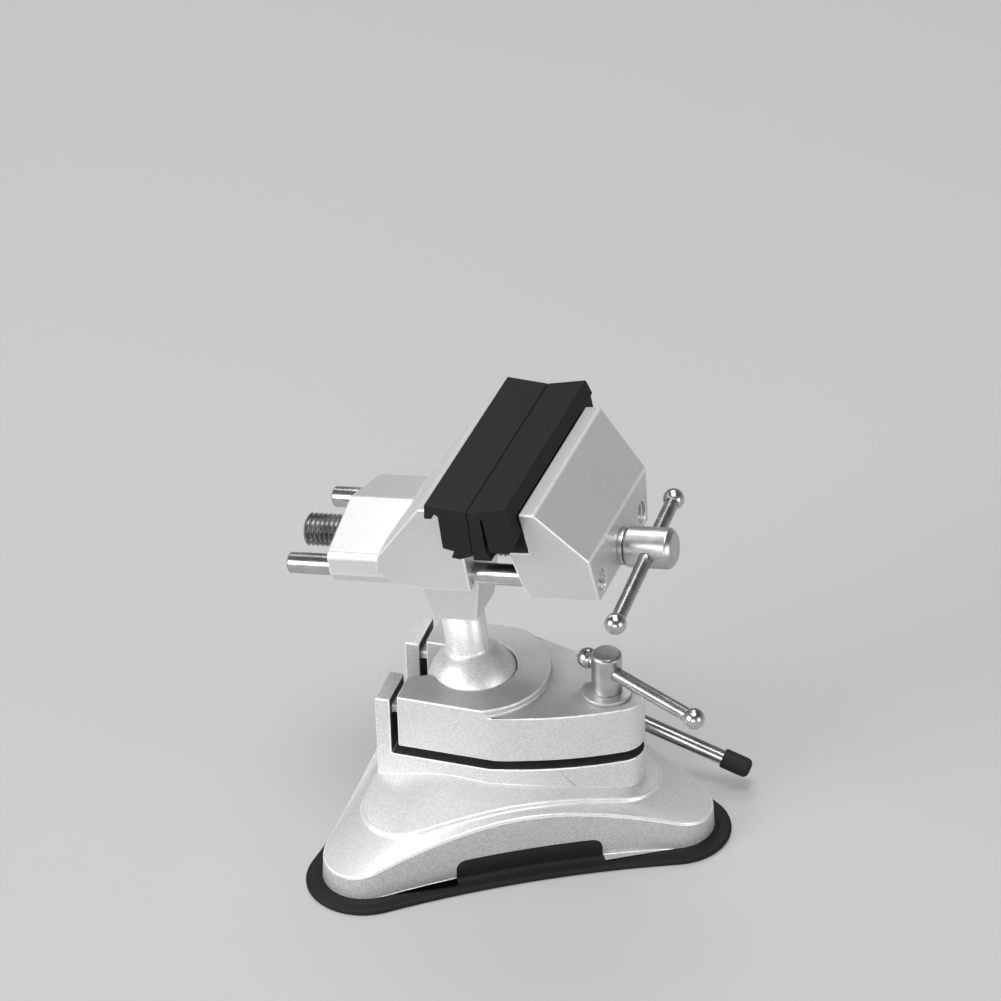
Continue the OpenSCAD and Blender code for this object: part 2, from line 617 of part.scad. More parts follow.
module thrust_washer() color(steel) head() along_x(moving_outer_x + 0.05, 0, rod_z) difference() {
    cylinder(d = boss_d - 1.2, h = thrust_t);
    translate([0, 0, -1]) cylinder(d = lead_neck_d + 0.4, h = thrust_t + 2);
}
clip_t = 1;
clip_x = 33.9;
module screw_clip() color(steel) head() along_x(clip_x, 0, rod_z) difference() {
    cylinder(d = lead_neck_d + 6, h = clip_t);
    translate([0, 0, -1]) cylinder(d = lead_neck_d - 1.6 + 0.1, h = clip_t + 2);
    translate([-2.6, 0, -1]) cube([5.2, far, clip_t + 2]);
}
module at_lead_bar() head() translate([bar_x, 0, rod_z]) rotate([lead_bar_slope, 0, 0])
    rotate([0, 0, -90]) children();
module lead_bar() color(steel) at_lead_bar() cross_bar(lead_bar_near, lead_bar_far);
module lead_bar_ends() color(steel) at_lead_bar() bar_ends(lead_bar_near, lead_bar_far);

// Pads: a thick lip over each jaw's top edge and a body that hangs in front of its grip face
pad_top = jaw_top + pad_rise;
pad_edge = pad_top + pad_dish;
pad_foot = ledge_z + 5.6;
pad_low = ledge_z + 2.5;
seat_z = jaw_top + soft_gap;
fixed_back = fixed_face_x + soft_gap;
moving_back = moving_face_x - soft_gap;
seam_gap = 0.05;
slot_x = seam_x + 4.6;
module pad_form(outline) translate([0, pad_off, 0]) rotate([90, 0, 0])
    translate([0, 0, -pad_w / 2]) linear_extrude(pad_w) polygon(outline);
module fixed_jaw_pad() color(black) head() pad_form([
    [seam_x - seam_gap, pad_top], [fixed_back - 4.3, pad_edge], [fixed_back - 5.1, seat_z],
    [fixed_back - 2.5, seat_z], [fixed_back - 1.3, seat_z + 2], [fixed_back, seat_z + 1],
    [fixed_back, pad_foot + 1], [fixed_back + 3.9, pad_foot], [fixed_back + 2.7, pad_low + 0.5],
    [fixed_back + 5.8, pad_low], [seam_x - seam_gap, pad_low + 1.6]]);
module moving_jaw_pad() color(black) head() pad_form([
    [seam_x + seam_gap, pad_top], [seam_x + seam_gap, pad_low], [slot_x + 2, pad_low],
    [slot_x + 0.3, pad_foot + 0.4], [slot_x, pad_top - 2.8], [slot_x + 0.7, pad_top - 2.9],
    [slot_x + 1.6, pad_foot + 0.4], [slot_x + 4.1, pad_foot], [moving_back - 2.4, pad_foot],
    [moving_back, pad_foot + 4.8], [moving_back - 0.5, seat_z - 0.6],
    [moving_back + 0.2, seat_z + 0.5], [moving_back - 1.6, pad_edge]]);

base_casting();
suction_pad();
pad_plate();
pull_stud();
cam_shaft();
cam_grub_screw();
lever_rod();
lever_grip();
clamp_block();
clamp_washer();
clamp_screw();
clamp_bar();
clamp_bar_ends();
ball_stud();
fixed_jaw();
fixed_jaw_pad();
moving_jaw();
moving_jaw_pad();
guide_rod_front();
guide_rod_rear();
lead_screw();
thrust_washer();
screw_clip();
lead_bar();
lead_bar_ends();
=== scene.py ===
"""Looks of the suction base vise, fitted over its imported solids.

Metres, +Z up, the origin on the bench straight below the ball. The sections follow the
vise as it is put together: the foot, its suction works, the ball and its clamp, the head
with its jaws, screw and pads, and last the studio and the camera.
"""

import json
import math

import bmesh
import bpy
from mathutils import Matrix, Vector


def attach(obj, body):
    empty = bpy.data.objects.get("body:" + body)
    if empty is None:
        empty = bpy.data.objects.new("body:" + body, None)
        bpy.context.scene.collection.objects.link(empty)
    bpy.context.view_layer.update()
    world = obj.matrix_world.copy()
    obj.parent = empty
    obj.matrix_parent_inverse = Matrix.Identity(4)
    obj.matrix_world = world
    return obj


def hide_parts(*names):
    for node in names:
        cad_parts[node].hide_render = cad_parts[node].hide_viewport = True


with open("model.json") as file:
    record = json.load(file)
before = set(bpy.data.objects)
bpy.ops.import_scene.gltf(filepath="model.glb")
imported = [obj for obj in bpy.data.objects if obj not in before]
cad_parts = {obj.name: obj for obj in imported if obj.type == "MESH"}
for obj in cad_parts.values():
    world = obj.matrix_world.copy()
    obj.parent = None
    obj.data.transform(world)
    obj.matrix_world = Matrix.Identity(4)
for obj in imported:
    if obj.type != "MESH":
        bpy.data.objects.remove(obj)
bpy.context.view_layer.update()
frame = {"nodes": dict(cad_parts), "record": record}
nodes = frame["nodes"]
body_of_node = {
    node: body for body, held in frame["record"]["behaviour"]["bodies"].items() for node in held
}
mm = 0.001


# ---- Foot casting ------------------------------------------------------------------------
# A die-cast foot on three lobes, with the collar and the two posts that carry the clamp
# block. It is sprayed with a silver sparkle paint that is thinner on the edges.
# Its edges and fillets also carry a painted highlight.

class Value:
    """A socket of a shader tree that is used in sums and products like a number."""

    def __init__(self, shading, socket):
        self.shading = shading
        self.socket = socket

    def math(self, operation, first, second):
        return self.shading.node("ShaderNodeMath", {"operation": operation}, {0: first, 1: second})

    def __add__(self, other):
        return self.math("ADD", self, other)

    def __sub__(self, other):
        return self.math("SUBTRACT", self, other)

    def __mul__(self, other):
        return self.math("MULTIPLY", self, other)

    def __radd__(self, other):
        return self.math("ADD", other, self)

    def __rsub__(self, other):
        return self.math("SUBTRACT", other, self)

    def __rmul__(self, other):
        return self.math("MULTIPLY", other, self)

    def ramp(self, low, high):
        """0 below low, 1 above high, and a smooth step between them."""
        return self.shading.node(
            "ShaderNodeMapRange",
            {"interpolation_type": "SMOOTHSTEP"},
            {"Value": self, "From Min": low, "From Max": high},
        )


class Shading:
    """A shader tree whose nodes all come from node()."""

    def __init__(self, owner, shader):
        owner.use_nodes = True
        self.tree = owner.node_tree
        self.shader = self.tree.nodes[shader]

    def feed(self, socket, value):
        if isinstance(value, Value):
            self.tree.links.new(value.socket, socket)
        else:
            socket.default_value = value

    def node(self, kind, settings=None, inputs=None, output=0):
        made = self.tree.nodes.new(kind)
        for name, value in (settings or {}).items():
            setattr(made, name, value)
        for name, value in (inputs or {}).items():
            self.feed(made.inputs[name], value)
        return Value(self, made.outputs[output])

    def finish(self, **looks):
        """Sets the shader's sockets, named with _ for a space."""
        for name, value in looks.items():
            self.feed(self.shader.inputs[name.replace("_", " ")], value)


class Paint(Shading):
    """One finish."""

    def __init__(self, name):
        self.material = bpy.data.materials.new(name)
        super().__init__(self.material, "Principled BSDF")
        self.place = self.node("ShaderNodeTexCoord", output="Object")

    def noise(self, size, detail):
        """Cloudy noise between 0 and 1 whose clouds are about that size across."""
        return self.node(
            "ShaderNodeTexNoise", None, {"Vector": self.place, "Scale": 1 / size, "Detail": detail}
        )

    def flakes(self, size):
        """A random brightness between 0 and 1 for each cell of that size."""
        cells = self.node(
            "ShaderNodeTexVoronoi", None, {"Vector": self.place, "Scale": 1 / size}, "Color"
        )
        return self.node("ShaderNodeSeparateColor", None, {"Color": cells}, "Red")

    def attribute(self, name):
        return self.node("ShaderNodeAttribute", {"attribute_name": name}, output="Fac")

    def blend(self, share, first, second):
        return self.node(
            "ShaderNodeMix", {"data_type": "RGBA"}, {"Factor": share, 6: first, 7: second}, 2
        )

    def bump(self, height, depth, strength, under=None):
        inputs = {"Height": height, "Distance": depth, "Strength": strength}
        if under is not None:
            inputs["Normal"] = under
        return self.node("ShaderNodeBump", None, inputs)

    def finish(self, **looks):
        super().finish(**looks)
        return self.material


def grey(level):
    return (level, level, level * 0.995, 1)


def sparkle_paint(name, low, high):
    paint = Paint(name)
    flake = paint.flakes(0.4 * mm)
    dimples = paint.noise(1.1 * mm, 1)
    grain = paint.noise(0.45 * mm, 2)
    patches = paint.noise(26 * mm, 2)
    edge = paint.attribute("edge_wear_and_highlight") * paint.noise(3 * mm, 3).ramp(0.2, 0.5)
    body = paint.blend(flake.ramp(0.1, 0.95), grey(low), grey(high))
    dull = paint.blend(patches.ramp(0.35, 0.75) * 0.2, body, grey(low))
    # Broken edges are lightened: partly worn-thin paint, partly a painted highlight.
    worn_and_highlit = paint.blend(edge * 0.9, dull, grey(0.97))
    hammered = paint.bump(dimples, 0.05 * mm, 0.3)
    return paint.finish(
        Base_Color=worn_and_highlit,
        Metallic=0.6,
        Roughness=0.46 - 0.08 * flake - edge * 0.08,
        Normal=paint.bump(grain + flake * 0.5, 0.03 * mm, 0.4, hammered),
    )


def own_mesh(name, mesh, *materials):
    """An object at the origin that holds this mesh and these materials."""
    made = bpy.data.objects.new(name, mesh)
    bpy.context.scene.collection.objects.link(made)
    for material in materials:
        mesh.materials.append(material)
    return made


def finished(piece):
    """Turns the piece's modifiers into its mesh."""
    graph = bpy.context.evaluated_depsgraph_get()
    mesh = bpy.data.meshes.new_from_object(piece.evaluated_get(graph))
    piece.modifiers.clear()
    piece.data = mesh


sharp_bend = 35


def shade(mesh, sharp):
    mesh.shade_smooth()
    mesh.set_sharp_from_angle(angle=math.radians(sharp))


def settle(piece, sharp=sharp_bend):
    """Applies the piece's modifiers and shades it smooth up to that angle."""
    finished(piece)
    shade(piece.data, sharp)
    return piece


def mark_edges(mesh, broken):
    """Stores which faces broke an edge: outer edges get worn-thin paint and a painted highlight,
    inner fillets only a painted highlight.
    """
    work = bmesh.new()
    work.from_mesh(mesh)
    thin_paint_and_highlight = [0.0] * len(work.faces)
    for face in work.faces:
        if face.material_index == broken:
            bends = [e.calc_face_angle_signed(0) for e in face.edges if len(e.link_faces) == 2]
            # Outer edges: worn paint plus painted highlight; inner fillets: painted highlight
            # only, at 0.6.
            thin_paint_and_highlight[face.index] = 1.0 if max(bends, key=abs) > 0 else 0.6
            face.material_index = 0
    work.to_mesh(mesh)
    work.free()
    layer = mesh.attributes.new("edge_wear_and_highlight", "FLOAT", "FACE")
    layer.data.foreach_set("value", thin_paint_and_highlight)


merge_gap = 0.002 * mm
least_edge = 0.02 * mm
flat_within = math.radians(0.05)


def clean_copy(name, cuts=()):
    """A copy of a CAD node's mesh, merged, its flat faces joined and its sides cut at each x."""
    work = bmesh.new()
    work.from_mesh(nodes[name].data)
    bmesh.ops.remove_doubles(work, verts=work.verts, dist=merge_gap)
    bmesh.ops.dissolve_degenerate(work, dist=least_edge, edges=work.edges)
    bmesh.ops.dissolve_limit(
        work, angle_limit=flat_within, verts=work.verts, edges=work.edges)
    for x in cuts:
        sides = [face for face in work.faces if abs(face.normal.y) > 0.95]
        around = {edge for face in sides for edge in face.edges}
        ends = {vert for face in sides for vert in face.verts}
        bmesh.ops.bisect_plane(
            work, geom=sides + list(around) + list(ends), plane_co=(x, 0, 0), plane_no=(1, 0, 0))
    mesh = bpy.data.meshes.new(name + "_dressed")
    work.to_mesh(mesh)
    work.free()
    return mesh


def stands_for(piece, name):
    """The piece takes the place of this node and rides on its body."""
    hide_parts(name)
    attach(piece, body_of_node[name])


def any_edge(edge, bend):
    """Share of the bevel's width for an edge: all of it past 30 degrees."""
    return 1 if bend > 30 else 0


# An edge is broken by less where a neighbour is short, and not at all beside a sliver.
edge_room = 0.42
sliver_depth = 0.03 * mm


def rounded(piece, width, segments, share=any_edge):
    """Breaks the piece's edges, each by its share of the width, and evens its shading."""
    work = bmesh.new()
    work.from_mesh(piece.data)
    weight = work.edges.layers.float.new("bevel_weight_edge")
    for edge in work.edges:
        if len(edge.link_faces) == 2:
            bend = math.degrees(edge.calc_face_angle(0))
            near = min(e.calc_length() for vert in edge.verts for e in vert.link_edges)
            room = min(1, edge_room * near / width)
            depth = min(face.calc_area() for face in edge.link_faces) / edge.calc_length()
            if depth > sliver_depth:
                edge[weight] = room * share(edge, bend)
    work.to_mesh(piece.data)
    work.free()
    bevel = piece.modifiers.new("edges", "BEVEL")
    bevel.width = width
    bevel.segments = segments
    bevel.limit_method = "WEIGHT"
    bevel.use_clamp_overlap = False
    bevel.miter_outer = "MITER_ARC"
    broken = len(piece.data.materials)
    piece.data.materials.append(piece.data.materials[0])
    bevel.material = broken
    settle(piece)
    mark_edges(piece.data, broken)
    piece.data.materials.pop(index=broken)
    even = piece.modifiers.new("shading", "WEIGHTED_NORMAL")
    even.keep_sharp = True
    finished(piece)


def dressed(name, material, width, segments, share=any_edge):
    """A node's own shape with its edges broken and its finish on."""
    piece = own_mesh(name + "_dressed", clean_copy(name), material)
    rounded(piece, width, segments, share)
    stands_for(piece, name)


def painted_shade_metal():
    # Near-black painted shade, laid on faces deep in the gaps and hollows where shade falls.
    paint = Paint("gap_shade_casting")
    film = paint.noise(4 * mm, 3)
    return paint.finish(
        Base_Color=paint.blend(film, grey(0.02), grey(0.07)), Roughness=0.45 + 0.2 * film
    )


cup_rim = 20 * mm
window_z = 11 * mm


def foot_edge(edge, bend):
    """Crisp where the rubber meets the skirt, softer on the rims that run round the foot."""
    low = max(vert.co.z for vert in edge.verts) < window_z
    in_cup = max(vert.co.xy.length for vert in edge.verts) < cup_rim
    on_deck = min(face.normal.z for face in edge.link_faces) > 0.85
    if in_cup:
        return 0
    if bend > 34:
        return 0.3 if low else 0.8
    return 0.45 if bend > 14 and not low and not on_deck else 0


silver_paint = sparkle_paint("silver_sparkle_paint", 0.61, 0.76)
# A darker copy of the same paint, used as painted shade on the lower sides.
shaded_skirt_paint = sparkle_paint("skirt_paint_painted_shade", 0.48, 0.64)
painted_gap_shade = painted_shade_metal()
foot = own_mesh(
    "base_casting_dressed", clean_copy("base_casting"), silver_paint, painted_gap_shade, shaded_skirt_paint)
rounded(foot, 0.7 * mm, 3, foot_edge)
collar_z = 33.6 * mm
post_x = 23 * mm
skirt_top_z = 23.5 * mm
near_enough = 0.2 * mm
broken_strip = 1.2 * mm ** 2
# Painted shade: the collar's top under the block, the post's face across the gap and the inside of
# the cup take the near-black shade colour.
for face in foot.data.polygons:
    on_collar = face.normal.z > 0.9 and abs(face.center.z - collar_z) < near_enough
    in_gap = face.normal.x > 0.9 and abs(face.center.x + post_x) < near_enough
    if on_collar or in_gap or face.center.z > collar_z and face.center.xy.length < cup_rim:
        face.material_index = 1
    # Painted shade: the broad lower sides of the skirt and the upright faces behind the posts take
    # the darker copy of the sparkle paint.
    elif abs(face.normal.z) < 0.25 and face.area > broken_strip:
        if face.center.z < skirt_top_z or face.center.x < -post_x:
            face.material_index = 2
stands_for(foot, "base_casting")


# ---- Suction pad -------------------------------------------------------------------------
# Moulded black rubber: a plate under the casting with a round-edged lip outside it, ribs on
# its underside that seal on the bench, and a tab that stands in the skirt's window.

lobe_reach = 64.4 * mm
foot_x = 8.1 * mm
lobe_r = 14.9 * mm
side_sag = 4.9 * mm
lip_r = 20.9 * mm
lip_sag = 4 * mm


def black_rubber(name, grain=0.35 * mm, level=0.006):
    paint = Paint(name)
    fine = paint.noise(grain, 3)
    dust = paint.noise(9 * mm, 4)
    handled = paint.noise(30 * mm, 2)
    body = paint.blend(dust.ramp(0.45, 0.8) * 0.3, grey(level), grey(level * 2))
    return paint.finish(
        Base_Color=body,
        Specular_IOR_Level=0.25,
        Roughness=0.52 + 0.16 * fine + 0.1 * handled,
        Normal=paint.bump(fine, 0.04 * mm, 0.5, paint.bump(handled, 0.4 * mm, 0.2)),
    )


def arc(centre, radius, start, end, steps):
    """Points on an arc about a centre, from one angle to another."""
    turns = [start + (end - start) * i / steps for i in range(steps + 1)]
    return [centre + radius * Vector((math.cos(a), math.sin(a))) for a in turns]


lobe_span = lobe_reach * math.sqrt(3)


def hollow_radius(radius, sag):
    """Radius of the sides between lobes of that radius, when they are hollowed by the sag."""
    return (sag * sag + lobe_span * lobe_span / 4) / (2 * sag) - radius


arc_steps = 14


def lobed(radius, sag):
    """The foot's three-lobed outline."""
    hollow = hollow_radius(radius, sag)
    half = math.asin(lobe_span / 2 / (hollow + radius))
    middle = Vector((foot_x, 0))
    points = []
    for i in range(3):
        lobe = math.radians(120 * i)
        side = lobe + math.radians(60)
        points += arc(
            middle + lobe_reach * Vector((math.cos(lobe), math.sin(lobe))),
            radius, side - math.radians(120) - half, side + half, arc_steps,
        )
        away = lobe_reach / 2 + hollow + radius - sag
        points += arc(
            middle + away * Vector((math.cos(side), math.sin(side))),
            hollow, side + math.pi + half, side + math.pi - half, arc_steps,
        )[1:-1]
    return points


def loft(name, rings, material):
    """A mesh skinned over rings of points, with its ends capped."""
    work = bmesh.new()
    rows = [[work.verts.new(point) for point in ring] for ring in rings]
    count = len(rows[0])
    for low, high in zip(rows, rows[1:]):
        for i in range(count):
            j = (i + 1) % count
            work.faces.new((low[i], low[j], high[j], high[i]))
    work.faces.new(rows[0][::-1])
    work.faces.new(rows[-1])
    bmesh.ops.recalc_face_normals(work, faces=work.faces)
    mesh = bpy.data.meshes.new(name)
    work.to_mesh(mesh)
    work.free()
    return own_mesh(name, mesh, material)


rubber = black_rubber("foot_rubber")
pad_profile = [
    (4, 0.9), (11.5, 0.9), (12.2, 0.1), (13.4, 0), (14.2, 0.8), (16.2, 0.8), (17, 0.05),
    (19.9, 0), (20.5, 0.1), (20.85, 0.5), (20.9, 1.1), (20.7, 1.7), (20.2, 2.05), (19.4, 2.1),
    (17.4, 2.1), (16.6, 2.25), (16.1, 2.6), (15.7, 2.88), (15.2, 2.9), (9, 2.9),
]
lip_root_r = 15.7 * mm
pad_rings = []
for radius, height in pad_profile:
    past_root = max(0, radius * mm - lip_root_r) / (lip_r - lip_root_r)
    sag = side_sag + (lip_sag - side_sag) * past_root
    pad_rings.append([(*p, height * mm) for p in lobed(radius * mm, sag)])
pad = settle(loft("suction_pad_rubber", pad_rings, rubber), 50)
stands_for(pad, "suction_pad")


# The tab in the window follows the skirt's face.
window_w = 52.3 * mm
window_off = 1.1 * mm
tab_top = 9.55 * mm
tab_r = 3.2 * mm
skirt_z = 2.9 * mm
skirt_lean = 0.8 / 20
tab_proud = 0.35 * mm
tab_depth = 3 * mm
tab_low = 1.9 * mm


def skirt_point(along, height, proud=0.0):
    """A point on the skirt's front side: along it from its middle, at that height."""
    hollow = hollow_radius(lobe_r, side_sag)
    away = lobe_reach / 2 + lobe_r - side_sag + hollow - math.sqrt(hollow ** 2 - along ** 2)
    away += proud - skirt_lean * (height - skirt_z)
    side = math.radians(-60)
    out = Vector((math.cos(side), math.sin(side), 0))
    return Vector((foot_x, 0, height)) + away * out + along * Vector((-out.y, out.x, 0))


def tab_ring(share):
    """The tab's cross section at that share of its half width."""
    along = share * window_w / 2
    past = max(0, abs(along) - window_w / 2 + tab_r)
    top = tab_top - tab_r + math.sqrt(max(0, tab_r ** 2 - past ** 2))
    along += window_off
    return [
        skirt_point(along, tab_low, tab_proud),
        skirt_point(along, (tab_low + top) / 2, tab_proud),
        skirt_point(along, top - 0.5 * mm, tab_proud), skirt_point(along, top - 0.1 * mm, 0),
        skirt_point(along, top, -0.6 * mm), skirt_point(along, top, -tab_depth),
        skirt_point(along, tab_low, -tab_depth),
    ]


tab_shares = [math.sin(math.radians(a)) for a in range(-90, 91, 3)]
tab = settle(loft("window_tab", [tab_ring(share) for share in tab_shares], rubber), 50)
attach(tab, "foot")


# ---- Suction works -----------------------------------------------------------------------
# Zinc-plated steel inside the foot: the plate on the rubber, the pull stud, the cam shaft
# with its cross hole, and the grub screw that keeps the shaft in.

def plated_steel():
    paint = Paint("zinc_plated_steel")
    cloud = paint.noise(3 * mm, 3)
    fine = paint.noise(0.3 * mm, 2)
    body = paint.blend(cloud.ramp(0.35, 0.7), grey(0.36), grey(0.47))
    return paint.finish(
        Base_Color=body,
        Metallic=1.0,
        Roughness=0.3 + 0.2 * cloud,
        Normal=paint.bump(fine, 0.02 * mm, 0.4),
    )


zinc = plated_steel()
for part in ("pad_plate", "pull_stud", "cam_shaft", "cam_grub_screw"):
    dressed(part, zinc, 0.3 * mm, 2)


# ---- Suction lever -----------------------------------------------------------------------
# A bright steel rod, bent a little way out from the cam shaft so that it clears the foot,
# with a black dipped grip on its end.

def bright_steel(name="bright_steel", rough=0.17, level=0.47):
    paint = Paint(name)
    smear = paint.noise(7 * mm, 3)
    fine = paint.noise(0.5 * mm, 2)
    body = paint.blend(smear.ramp(0.3, 0.75), grey(level), grey(level + 0.14))
    return paint.finish(
        Base_Color=body,
        Metallic=1.0,
        Roughness=rough + 0.1 * smear + 0.04 * fine,
        Normal=paint.bump(fine, 0.012 * mm, 0.35),
    )


def lathe(profile, steps):
    """Rings of a turned piece along +X from (distance along, radius) pairs."""
    turns = [2 * math.pi * i / steps for i in range(steps)]
    return [[(x, r * math.cos(a), r * math.sin(a)) for a in turns] for x, r in profile]


def node_group(name, sizes, path=False):
    """A geometry node group with these sizes as named inputs, and its first and last node."""
    tree = bpy.data.node_groups.new(name, "GeometryNodeTree")
    face = tree.interface
    if path:
        face.new_socket("Path", in_out="INPUT", socket_type="NodeSocketGeometry")
    for label, value in sizes.items():
        entry = face.new_socket(label, in_out="INPUT", socket_type="NodeSocketFloat")
        entry.default_value = value
    face.new_socket("Result", in_out="OUTPUT", socket_type="NodeSocketGeometry")
    return tree, tree.nodes.new("NodeGroupInput"), tree.nodes.new("NodeGroupOutput")


def grown(name, tree, material, sharp, points, edges=()):
    """The piece that a node group makes from these points."""
    mesh = bpy.data.meshes.new(name)
    mesh.from_pydata(points, edges, [])
    piece = own_mesh(name, mesh, material)
    modifier = piece.modifiers.new("form", "NODES")
    modifier.node_group = tree
    return settle(piece, sharp)


def swept_rod(name, points, radius, bend, material):
    """A round rod along straight runs with filleted bends between them."""
    tree, source, sink = node_group(name, {"Radius": radius, "Bend": bend}, path=True)
    curve = tree.nodes.new("GeometryNodeMeshToCurve")
    fillet = tree.nodes.new("GeometryNodeFilletCurve")
    section = tree.nodes.new("GeometryNodeCurvePrimitiveCircle")
    sweep = tree.nodes.new("GeometryNodeCurveToMesh")
    paint = tree.nodes.new("GeometryNodeSetMaterial")
    real = tree.nodes.new("GeometryNodeRealizeInstances")
    fillet.mode = "POLY"
    fillet.inputs["Count"].default_value = 16
    section.inputs["Resolution"].default_value = 40
    sweep.inputs["Fill Caps"].default_value = True
    paint.inputs["Material"].default_value = material
    for a, b in (
        (source.outputs["Path"], curve.inputs["Mesh"]),
        (curve.outputs["Curve"], fillet.inputs["Curve"]),
        (source.outputs["Bend"], fillet.inputs["Radius"]),
        (source.outputs["Radius"], section.inputs["Radius"]),
        (fillet.outputs["Curve"], sweep.inputs["Curve"]),
        (section.outputs["Curve"], sweep.inputs["Profile Curve"]),
        (sweep.outputs["Mesh"], paint.inputs["Geometry"]),
        (paint.outputs["Geometry"], real.inputs["Geometry"]),
        (real.outputs["Geometry"], sink.inputs["Result"]),
    ):
        tree.links.new(a, b)
    return grown(name, tree, material, 40, points, [(i, i + 1) for i in range(len(points) - 1)])


chrome = bright_steel()
cam_z = 28.2 * mm
lever_y = 31 * mm
lever_bend_x = 34 * mm
lever_slope = math.radians(18.8)
lever_l = 62 * mm
lever_d = 5.5 * mm
grip_d = 7.2 * mm
grip_l = 10.8 * mm
lever_line_z = 39.2 * mm
lever_bend_r = 12 * mm
rod_past_shaft = 5.1 * mm
grip_bottom = 2 * mm
lever_bend_z = lever_line_z - lever_bend_x * math.tan(lever_slope)
lever_bend = Vector((lever_bend_x, lever_y, lever_bend_z))
lever_run = Vector((math.cos(lever_slope), 0, -math.sin(lever_slope)))
lever_root = Vector((foot_x, lever_y, cam_z))
lever_start = lever_root - rod_past_shaft * (lever_bend - lever_root).normalized()
lever = swept_rod(
    "lever_rod_bent",
    [lever_start, lever_bend, lever_bend + (lever_l - grip_bottom) * lever_run],
    lever_d / 2, lever_bend_r, chrome,
)
stands_for(lever, "lever_rod")


def placed(piece, matrix):
    """Moves the piece's mesh, so that its object stays at the origin."""
    piece.data.transform(matrix)
    return piece


grip_r = grip_d / 2
grip_profile = [
    (-grip_l, lever_d / 2 + 0.05 * mm), (-grip_l, grip_r - 0.5 * mm),
    (-grip_l + 0.35 * mm, grip_r - 0.08 * mm), (-grip_l + 0.9 * mm, grip_r),
    (-grip_l + 5 * mm, grip_r), (-2.6 * mm, grip_r), (-1.5 * mm, grip_r - 0.12 * mm),
    (-0.75 * mm, grip_r - 0.5 * mm), (-0.25 * mm, grip_r - 1.2 * mm),
    (0, grip_r - 2.2 * mm), (0, 0.1 * mm),
]
grip_rubber = black_rubber("dipped_grip", 0.6 * mm, 0.012)
grip = loft("lever_grip_cap", lathe(grip_profile, 48), grip_rubber)
grip_end = Matrix.Translation(lever_bend + lever_l * lever_run)
along_run = grip_end @ Matrix.Rotation(lever_slope, 4, "Y")
stands_for(settle(placed(grip, along_run), 50), "lever_grip")


# ---- Clamp block -------------------------------------------------------------------------
# The painted casting that presses on the ball. Its sides carry the same sparkle paint as
# the foot, and its upward top faces are given a smoother, darker grey.

def top_face_paint():
    # A smoother, darker grey for the block's upward top faces.
    paint = Paint("darker_top_silver")
    flake = paint.flakes(0.3 * mm)
    fine = paint.noise(0.45 * mm, 2)
    cloud = paint.noise(14 * mm, 3)
    edge = paint.attribute("edge_wear_and_highlight") * paint.noise(3 * mm, 3).ramp(0.2, 0.5)
    body = paint.blend(cloud.ramp(0.3, 0.75), grey(0.45), grey(0.54))
    lit = paint.blend(flake.ramp(0.55, 1) * 0.35, body, grey(0.72))
    # Broken edges are lightened: partly worn-thin paint, partly a painted highlight.
    worn_and_highlit = paint.blend(edge * 0.8, lit, grey(0.9))
    return paint.finish(
        Base_Color=worn_and_highlit,
        Metallic=0.55,
        Roughness=0.42 + 0.1 * cloud - 0.1 * edge,
        Normal=paint.bump(fine, 0.025 * mm, 0.5),
    )


side_cuts = (7.6 * mm, 19.6 * mm)
block = own_mesh(
    "clamp_block_dressed", clean_copy("clamp_block", side_cuts),
    silver_paint, top_face_paint(), painted_gap_shade)
rounded(block, 0.55 * mm, 3)
block_z = 37.4 * mm
block_rear_x = 20.4 * mm
upper_faces_z = 54 * mm
for face in block.data.polygons:
    under = face.normal.z < -0.9 and face.center.z < block_z + near_enough
    behind = face.normal.x < -0.9 and face.center.x < -block_rear_x + near_enough
    if face.normal.z > 0.93 and face.center.z > upper_faces_z:
        face.material_index = 1
    # Painted shade: the underside over the collar and the rear faces in the gap to the posts take
    # the near-black shade colour.
    elif under or behind:
        face.material_index = 2
stands_for(block, "clamp_block")


# ---- Clamp screw -------------------------------------------------------------------------
# A turned and plated screw with a flat washer, and a loose cross bar with a ball pressed on
# each end.

turned = bright_steel("turned_steel", 0.27, 0.48)
drawn = bright_steel("drawn_bar", 0.2, 0.34)
plated = bright_steel("plated_washer", 0.42, 0.6)
for part, finish, width in (
    ("clamp_washer", plated, 0.35 * mm), ("clamp_screw", turned, 0.3 * mm),
    ("clamp_bar", drawn, 0.15 * mm), ("clamp_bar_ends", chrome, 0.15 * mm),
):
    dressed(part, finish, width, 2)


# ---- Ball and stem -----------------------------------------------------------------------
# One turned piece, grit blasted: a ball, a waist where the stem leaves it, the stem, and
# the spigot that the neck turns on.

ball_z = 51 * mm
ball_r = 16.5 * mm
stem_r = 7.7 * mm
stem_l = 31.4 * mm
spigot_r = 5 * mm
spigot_l = 14 * mm
head_pose = (
    Matrix.Translation((0, 0, ball_z))
    @ Matrix.Rotation(math.radians(-7.5), 4, "Y")
    @ Matrix.Rotation(math.radians(-3), 4, "X")
    @ Matrix.Rotation(math.radians(-1.1), 4, "Z")
)


def blasted_metal(name, low, high, grain, depth, rough):
    paint = Paint(name)
    pits = paint.noise(grain, 3)
    coarse = paint.noise(grain * 2.6, 1)
    cloud = paint.noise(16 * mm, 2)
    edge = paint.attribute("edge_wear_and_highlight") * paint.noise(3 * mm, 3).ramp(0.2, 0.5)
    body = paint.blend(pits.ramp(0.3, 0.72), grey(low), grey(high))
    soft = paint.blend(cloud.ramp(0.35, 0.75) * 0.25, body, grey(low))
    # Broken edges are lightened: partly worn-thin paint, partly a painted highlight.
    worn_and_highlit = paint.blend(edge * 0.6, soft, grey(0.92))
    return paint.finish(
        Base_Color=worn_and_highlit,
        Metallic=0.6,
        Roughness=rough + 0.12 * pits - 0.08 * edge,
        Normal=paint.bump(pits + coarse * 0.6, depth, 0.7),
    )


